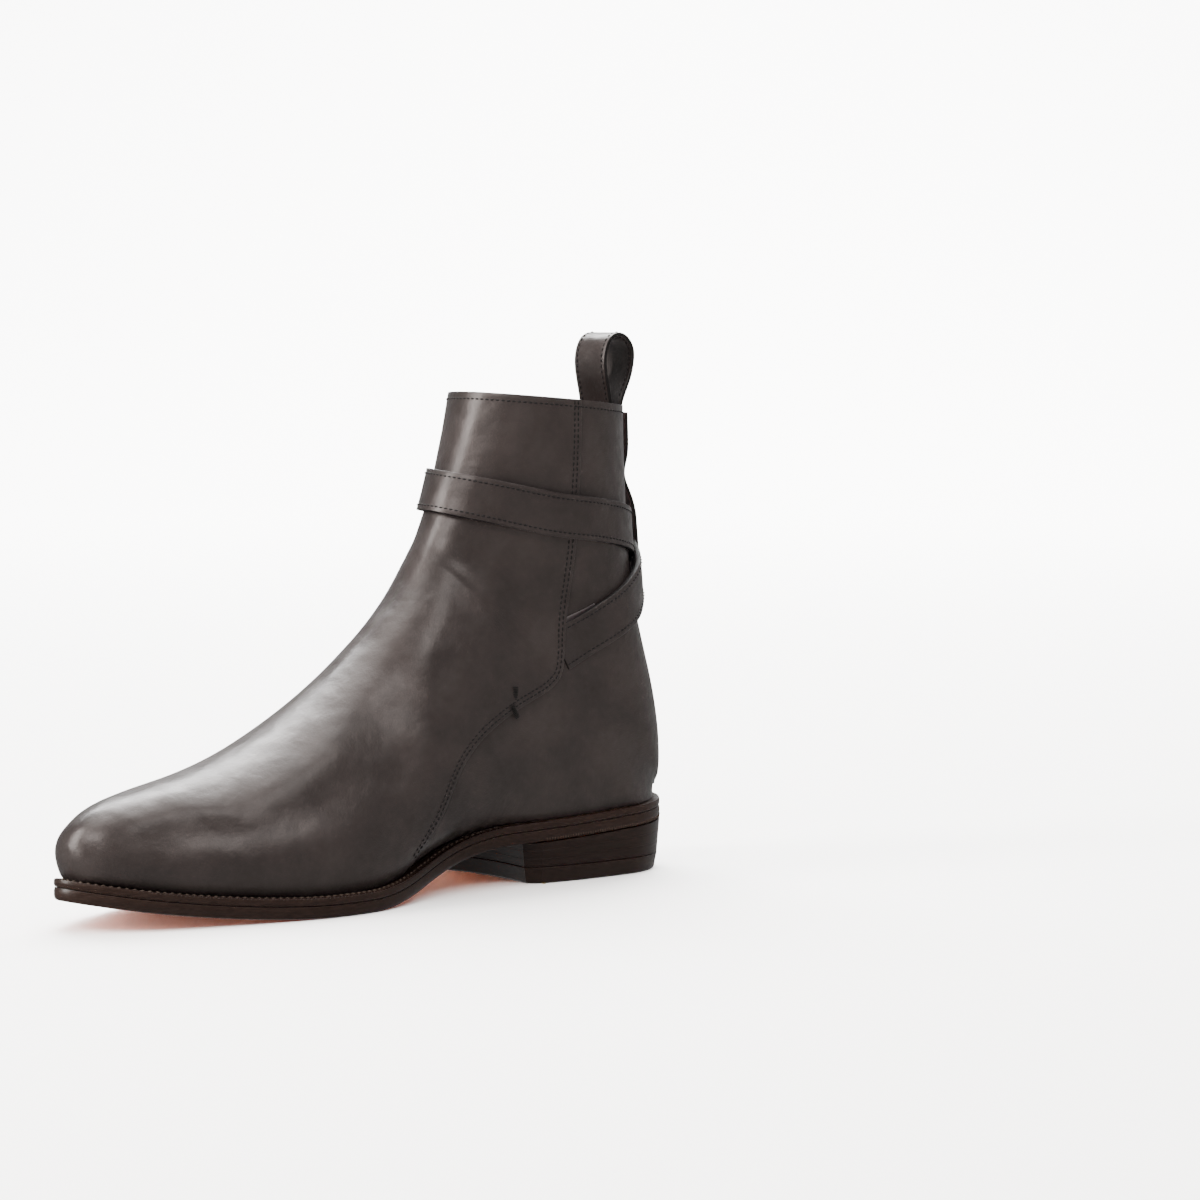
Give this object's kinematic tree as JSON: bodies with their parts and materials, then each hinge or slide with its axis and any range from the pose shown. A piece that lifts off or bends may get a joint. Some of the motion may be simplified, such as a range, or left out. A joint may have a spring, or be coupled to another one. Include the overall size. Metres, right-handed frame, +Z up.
{
  "type": "jodhpur boot",
  "caption": "Ankle-high leather jodhpur boot for the right foot, with wrapped straps, a side buckle, a back pull loop, a leather sole and a low stacked heel.",
  "frame": {"origin": "on the floor under the middle of the heel tread", "axes": "+Z up, -X towards the toe, -Y towards the inner side of the foot"},
  "size_m": [0.3064, 0.0973, 0.2297],
  "materials": {
    "calf": "polished charcoal grey box calf, fine grain, soft gloss",
    "sole_leather": "glossy orange-tan sole leather with brushed streaks",
    "sole_edge": "very dark brown waxed edge, satin gloss",
    "insole_leather": "matt natural leather board",
    "rubber": "matt black rubber",
    "brass": "aged brass with worn bright edges"
  },
  "bodies": {
    "root": {"outsole": "sole_leather", "welt": "sole_edge", "heel_stack": "sole_edge", "heel_top_piece": "sole_leather", "heel_rubber_tip": "rubber", "insole": "insole_leather", "upper": "calf", "strap_front": "calf", "strap_buckle": "calf", "back_stay": "calf", "pull_loop": "calf", "buckle_frame": "brass", "buckle_prong": "brass"}
  },
  "joints": []
}
